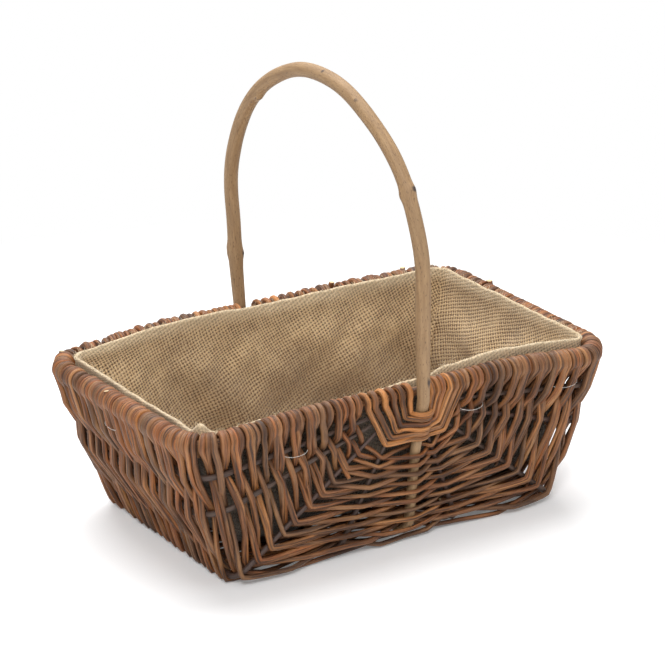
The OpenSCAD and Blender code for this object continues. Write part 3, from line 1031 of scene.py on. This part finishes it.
# Height of the hem above the rim's centre, at places round the basket
hemHeights = [
    (-0.200, 0.000, 0.0066), (-0.200, 0.070, 0.0078), (-0.195, -0.060, 0.0066),
    (-0.188, -0.106, 0.0052), (-0.168, -0.112, 0.0030), (-0.100, -0.112, 0.0015),
    (-0.030, -0.112, 0.0020), (0.018, -0.112, 0.0040), (0.050, -0.112, 0.0100),
    (0.100, -0.112, 0.0125), (0.150, -0.112, 0.0130), (0.187, -0.100, 0.0115),
    (0.196, 0.000, 0.0115), (0.192, 0.100, 0.0105), (0.100, 0.112, 0.0082),
    (0.000, 0.112, 0.0075), (-0.060, 0.112, 0.0098), (-0.120, 0.112, 0.0086),
]


# A point of the liner: its place round the outline, at an inset and a height
def linerSpot(across, along, out, inset, z):
    low = min(z, rimHeight)
    r = liner["corner"]
    x, y = halfLength(low) - inset - r, halfWidth(low) - inset - r
    return Vector((across * x + out[0] * r, along * y + out[1] * r, z))


# Soft unevenness of cloth that only leans on the weave: always inwards
def slack(place, depth):
    x, y, z = place
    broad = wobble((x + z * 0.9, y - z * 0.6, z * 0.3), 21, liner["broadFold"])
    fine = wobble((x - z * 0.6, y, z * 0.7), 33, liner["fineFold"])
    return max(0.5 + broad + fine * 0.45, 0) * depth


hemTip = {"x": -0.188, "y": -0.103, "rise": 0.0075, "width": 0.0055}  # a folded corner
hemRipple = {"height": 0.0010, "length": 0.016}


def hemRise(x, y):
    total = weight = 0
    for placeX, placeY, rise in hemHeights:
        share = 1 / (math.hypot(x - placeX, y - placeY) + 0.004) ** 3
        total += rise * share
        weight += share
    away = math.hypot(x - hemTip["x"], y - hemTip["y"]) / hemTip["width"]
    tip = hemTip["rise"] * math.exp(-away ** 2)
    ripple = hemRipple["height"] * wobble((x, y, 0), 41, hemRipple["length"])
    return total / weight + tip + ripple


hemTop = []  # places along the hem's edge, for its fringe


# The rings of the wall, from the floor up and over the hem: inset, height, share of the hem
def linerSteps(edge):
    steps = []
    for k in range(1, liner["bendSteps"] + 1):
        angle = math.pi / 2 * k / liner["bendSteps"]
        steps.append((liner["inset"] + edge * (1 - math.sin(angle)),
                      liner["floor"] + edge * (1 - math.cos(angle)), 0))
    wallTop = rimHeight - liner["hemDepth"]
    for k in range(1, liner["wallSteps"] + 1):
        t = k / liner["wallSteps"]
        steps.append((mix(liner["inset"], liner["hemInset"], t ** 3),
                      mix(liner["floor"] + edge, wallTop, t), 0))
    inner = liner["hemInset"]
    outer = inner - liner["fold"]
    hem = [(inner, share) for share in (0.25, 0.5, 0.75, 0.93, 1)]
    hem += [(mix(inner, outer, 0.5), 1.04)] + [(outer, share) for share in (1, 0.75, 0.5, 0.25)]
    return steps + [(inset, wallTop, share) for inset, share in hem]


def linerMesh():
    form = bmesh.new()
    cellsX, cellsY = liner["cells"]
    bmesh.ops.create_grid(form, x_segments=cellsX, y_segments=cellsY, size=1)
    across, along, outX, outY, run, hem = [
        form.verts.layers.float.new(n) for n in ("across", "along", "outX", "outY", "run", "hem")]
    r = liner["corner"]
    edge = liner["edge"]
    inset = liner["inset"] + edge
    x, y = halfLength(liner["floor"]) - inset, halfWidth(liner["floor"]) - inset
    for v in form.verts:
        level = max(abs(v.co.x), abs(v.co.y), 1e-6)
        spot = Vector((v.co.x / level * x, v.co.y / level * y, 0))
        inner = Vector((clamp(spot.x, r - x, x - r), clamp(spot.y, r - y, y - r), 0))
        out = (spot - inner).normalized()
        v[across], v[along] = inner.x / (x - r), inner.y / (y - r)
        v[outX], v[outY] = out.x, out.y
        spot = (inner + out * r) * level
        v.co = Vector((spot.x, spot.y, liner["floor"]))
        v.co.z += slack(v.co, liner["floorWave"]) * (1 - level ** 6)
    steps = linerSteps(edge)
    edges = [e for e in form.edges if e.is_boundary]
    length = 0
    last = Vector((inset, liner["floor"]))
    for inset, z, share in steps:
        grown = bmesh.ops.extrude_edge_only(form, edges=edges)["geom"]
        ring = [g for g in grown if isinstance(g, bmesh.types.BMVert)]
        edges = [g for g in grown if isinstance(g, bmesh.types.BMEdge) and g.is_boundary]
        here = Vector((inset, z + share * liner["hemHeight"]))
        length += (here - last).length
        last = here
        for v in ring:
            out = Vector((v[outX], v[outY]))
            spot = linerSpot(v[across], v[along], out, inset, z)
            top = rimHeight + hemRise(spot.x, spot.y) - rimSag(spot.x, spot.y)
            spot.z = mix(spot.z, top, share)
            held = clamp((rimHeight - 0.004 - spot.z) / 0.03, 0.25, 1)  # tighter at the rim
            push = slack(spot, liner["wave"]) * held if share < 0.9 else 0
            spot.x -= out.x * push
            spot.y -= out.y * push
            v.co = spot
            v[run] = length
            v[hem] = clamp(share, 0, 1)
            if share > 1:
                hemTop.append((spot.copy(), out.copy()))

    def unrolled(at, out, other):  # a place along a wall, with the round corner laid flat
        return at - out * r + math.atan2(out, abs(other)) * r

    cloth = form.loops.layers.uv.new("cloth")
    for face in form.faces:
        middle = face.calc_center_median()
        onWall = max(v[run] for v in face.verts) > 0
        long = sum(abs(v[outY]) - abs(v[outX]) for v in face.verts) > 0
        for loop in face.loops:
            v = loop.vert
            flat = v.co.xy
            if onWall and long:
                flat = (unrolled(v.co.x, v[outX], v[outY]), math.copysign(y + v[run], middle.y))
            elif onWall:
                flat = (math.copysign(x + v[run], middle.x), unrolled(v.co.y, v[outY], v[outX]))
            loop[cloth].uv = flat
    bmesh.ops.recalc_face_normals(form, faces=form.faces)
    return written(form, bpy.data.meshes.new("hessian_liner"))


# the outer side's finish is a copy of the cloth darkened with painted shade
hessianCloth = [hessianFinish("hessian"),
                hessianFinish("hessian_outside_shaded", hessian["outsidePaintedShade"])]
linerPiece = makePiece("hessian_liner", [linerMesh()], hessianCloth, ["liner"])
solid = linerPiece.modifiers.new("thickness", "SOLIDIFY")
solid.thickness = liner["thick"]
solid.offset = 0
solid.material_offset = 1


# Threads too thin for the CAD model, each a line of points
def threadMesh(name, lines, radius):
    curve = newCurve(name, radius, 0)
    curve.use_fill_caps = True
    for line in lines:
        spline = curve.splines.new("POLY")
        spline.points.add(len(line) - 1)
        for point, place in zip(spline.points, line):
            point.co = (*place, 1)
    mesh = drawn(curve)
    form = bmesh.new()
    form.from_mesh(mesh)
    bmesh.ops.remove_doubles(form, verts=form.verts, dist=radius * 0.05)
    bmesh.ops.recalc_face_normals(form, faces=form.faces)
    return written(form, mesh)


fringe = {
    "fibres": 900,
    "length": (0.002, 0.0065),
    "radius": 0.00011,
    "tuft": Vector((0.032, -0.106)),  # where a few long threads have come loose
    "tuftReach": 0.012,
    "tuftFibres": 14,
    "tuftLength": (0.009, 0.018),
    "dark": rgb(0.56, 0.42, 0.25),
    "pale": rgb(0.8, 0.68, 0.49),
}


def fibre(spot, out, length, dice):
    heading = Vector((out.x, out.y, 0)) * dice.uniform(-0.7, 0.9)
    heading += Vector((dice.uniform(-1, 1), dice.uniform(-1, 1), dice.uniform(0.0, 0.9)))
    heading.normalize()
    line = [spot - Vector((0, 0, 0.0006))]
    for step in range(4):
        curl = Vector([dice.uniform(-1, 1) for axis in range(3)]) * 0.45
        heading = (heading + curl).normalized()
        line.append(line[-1] + heading * length / 4)
    return line


def fibreLines():
    dice = random.Random(61)
    lines = []
    for k in range(fringe["fibres"]):
        spot, out = dice.choice(hemTop)
        lines.append(fibre(spot, out, dice.uniform(*fringe["length"]), dice))
    near = [h for h in hemTop if (h[0].xy - fringe["tuft"]).length < fringe["tuftReach"]]
    for k in range(fringe["tuftFibres"]):
        spot, out = dice.choice(near)
        lines.append(fibre(spot, out, dice.uniform(*fringe["tuftLength"]), dice))
    return lines


def fuzzFinish():
    finish = Finish("hem_fuzz")
    tone = finish.spread(finish.noise(finish.place(), 90.0, 2.0), 0.3, 0.7)
    return finish.surface(finish.blend(tone, fringe["dark"], fringe["pale"]), 0.9)


fibres = makePiece("hem_fibres", [threadMesh("fibres", fibreLines(), fringe["radius"])],
                   [fuzzFinish()])

nylon = {
    "radius": 0.00022,
    "proud": 0.0085,  # how far a stitch stands off the wall in its middle
    "dive": 0.013,  # how far its ends go in
    "sag": 0.003,
    "dark": rgb(0.62, 0.6, 0.54),
    "pale": rgb(0.85, 0.84, 0.8),
}
# Stitches that tie the liner to the weave: wall, place along it, length, below the rim
stitches = [
    ("front", 0.062, 0.030, 0.024), ("front", -0.112, 0.032, 0.026), ("front", 0.160, 0.034, 0.025),
    ("left", 0.010, 0.034, 0.026), ("back", -0.110, 0.030, 0.025), ("back", 0.100, 0.030, 0.025),
    ("right", 0.000, 0.032, 0.025),
]


def stitchLine(wall, middle, length, depth):
    line = []
    for k in range(13):
        t = k / 12
        z = rimHeight - depth - nylon["sag"] * math.sin(math.pi * t)
        place = middle + (t - 0.5) * length
        proud = nylon["proud"] - nylon["dive"] * (2 * abs(t - 0.5)) ** 4
        side = -1 if wall in ("front", "left") else 1
        if wall in ("front", "back"):
            line.append(Vector((place, side * (halfWidth(z) + proud), z)))
        else:
            line.append(Vector((side * (halfLength(z) + proud), place, z)))
    return line


def nylonFinish():
    finish = Finish("nylon_thread")
    tone = finish.noise(finish.place(), 300.0)
    return finish.surface(finish.blend(tone, nylon["dark"], nylon["pale"]), 0.25)


stitchMesh = threadMesh("stitch", [stitchLine(*s) for s in stitches], nylon["radius"])
makePiece("liner_stitches", [stitchMesh], [nylonFinish()])
print("threads")


# White paper with the shadow on it; further out the rays that see it find plain white
studioLook = {
    "paper": rgb(0.92, 0.92, 0.925),
    "white": rgb(1, 1, 1),
    "lift": 0.14,
    "near": 0.42,
    "far": 0.80,
    "floor": 8,
    "sky": 0.30,
    "lamps": {  # place, size, power
        "key": ((-1.5, -1.9, 2.0), 0.8, 45),
        "fill": ((1.6, -2.1, 1.6), 1.8, 10),
        "top": ((0.2, 0.8, 2.4), 2.2, 88),
    },
    "lampAim": Vector((0, 0, 0.1)),
}
studioView = {
    "azimuth": math.radians(-33.2),
    "elevation": math.radians(20.3),
    "distance": 2.21,
    "aim": Vector((0.002, -0.001, 0.156)),
    "zoom": 2600 / 665,  # focal length as a share of the picture's width
}


def seenRays(finish):
    camera, glossy, through = [finish.node("LightPath", output=f"Is {kind} Ray")
                               for kind in ("Camera", "Glossy", "Transmission")]
    return camera + glossy + through


def floorFinish():
    paper = Finish("floor_paper")
    white = studioLook["white"]
    matt = paper.node("BsdfPrincipled", None,
                      {"Base Color": studioLook["paper"], "Roughness": 0.95})
    seen = seenRays(paper)
    lit = paper.node("Emission", None, {"Color": white, "Strength": seen * studioLook["lift"]})
    near = paper.node("AddShader", None, {0: matt, 1: lit})
    far = paper.node("Emission", None, {"Color": white, "Strength": 1.0})
    away = paper.node("VectorMath", {"operation": "LENGTH"}, {0: paper.place()}, "Value")
    share = paper.spread(away, studioLook["near"], studioLook["far"]) * seen
    return paper.finished(paper.node("MixShader", None, {0: share, 1: near, 2: far}))


def skyFinish(world):
    sky = Finish("studio", world)
    strength = sky.spread(seenRays(sky), 0.0, 1.0, studioLook["sky"], 1.0)
    light = sky.node("Background", None, {"Color": studioLook["white"], "Strength": strength})
    return sky.finished(light, "World")


def studio():
    scene = bpy.context.scene
    scene.world = skyFinish(bpy.data.worlds.new("studio"))
    for name, (place, size, power) in studioLook["lamps"].items():
        light = bpy.data.lights.new(name, "AREA")
        light.size = size
        light.energy = power
        lamp = placed(name, light)
        lamp.location = place
        aim = studioLook["lampAim"] - Vector(place)
        lamp.rotation_euler = aim.to_track_quat("-Z", "Y").to_euler()
    form = bmesh.new()
    bmesh.ops.create_grid(form, x_segments=1, y_segments=1, size=studioLook["floor"])
    mesh = written(form, bpy.data.meshes.new("floor"))
    mesh.materials.append(floorFinish())
    ground = placed("floor", mesh)
    a, e = studioView["azimuth"], studioView["elevation"]
    back = Vector((math.sin(a) * math.cos(e), -math.cos(a) * math.cos(e), math.sin(e)))
    eye = bpy.data.cameras.new("camera")
    eye.sensor_width = 36
    eye.lens = studioView["zoom"] * eye.sensor_width
    camera = placed("camera", eye)
    camera.location = studioView["aim"] + back * studioView["distance"]
    camera.rotation_euler = back.to_track_quat("Z", "Y").to_euler()
    scene.camera = camera
    scene.view_settings.view_transform = "Standard"


studio()
print("studio")
